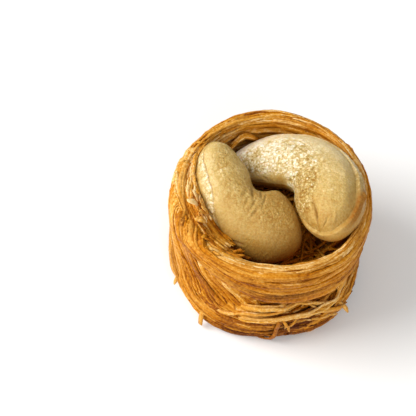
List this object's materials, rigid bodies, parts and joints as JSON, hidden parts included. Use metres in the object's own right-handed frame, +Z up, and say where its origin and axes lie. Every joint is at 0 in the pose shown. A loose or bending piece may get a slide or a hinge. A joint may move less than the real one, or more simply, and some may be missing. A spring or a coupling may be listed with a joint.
{
  "type": "kataifi nest",
  "caption": "Baked nest of shredded pastry threads wound into a small cup, filled with whole roasted cashews.",
  "frame": {"origin": "middle of the nest's flat underside, on the surface it rests on", "axes": "+Z up, +Y towards the back of the nest, where the wall's inside shows over the nuts, +X to the right of it"},
  "size_m": [0.0422, 0.043, 0.0326],
  "materials": {
    "baked_pastry": "golden brown baked pastry threads, lightly glazed with syrup",
    "roasted_cashew": "pale roasted nut with a soft sheen"
  },
  "bodies": {
    "root": {"kataifi_nest": "baked_pastry", "cashew_left": "roasted_cashew", "cashew_right": "roasted_cashew"}
  },
  "joints": []
}
